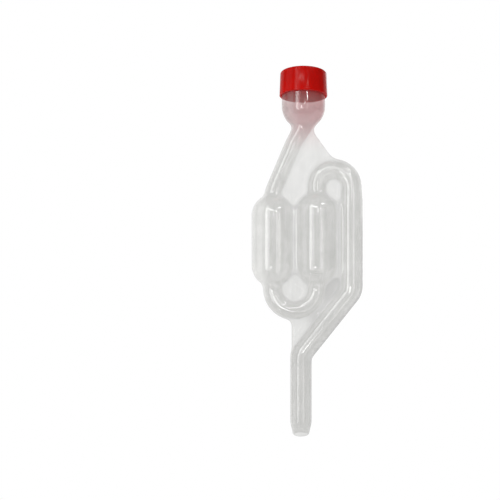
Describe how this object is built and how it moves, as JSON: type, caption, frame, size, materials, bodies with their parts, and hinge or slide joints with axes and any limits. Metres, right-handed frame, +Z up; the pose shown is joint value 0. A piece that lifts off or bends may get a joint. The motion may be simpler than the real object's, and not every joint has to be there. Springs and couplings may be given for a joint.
{
  "type": "s bend airlock",
  "caption": "Blown S bend airlock with bubble chambers, a flat web, a tapered bung stem and a slip-on dust cap over its cup.",
  "frame": {"origin": "on the stem's axis at its open lower end, where the mount bung_seat is", "axes": "+Z up along the stem to the cap, the tube's flat web lies in the XZ plane with the riser towards +X, and the front faces -Y"},
  "size_m": [0.0498, 0.0216, 0.1624],
  "materials": {
    "natural_plastic": "natural milky polypropylene, semi-clear, glossy",
    "red_plastic": "solid red, soft gloss"
  },
  "bodies": {
    "body": {"body": "natural_plastic"},
    "cap": {"cap": "red_plastic"}
  },
  "joints": [
    {"name": "cap_lift", "type": "slide", "parent": "body", "child": "cap", "axis": [0, 0, 1], "range_m": [0, 0.03]}
  ]
}
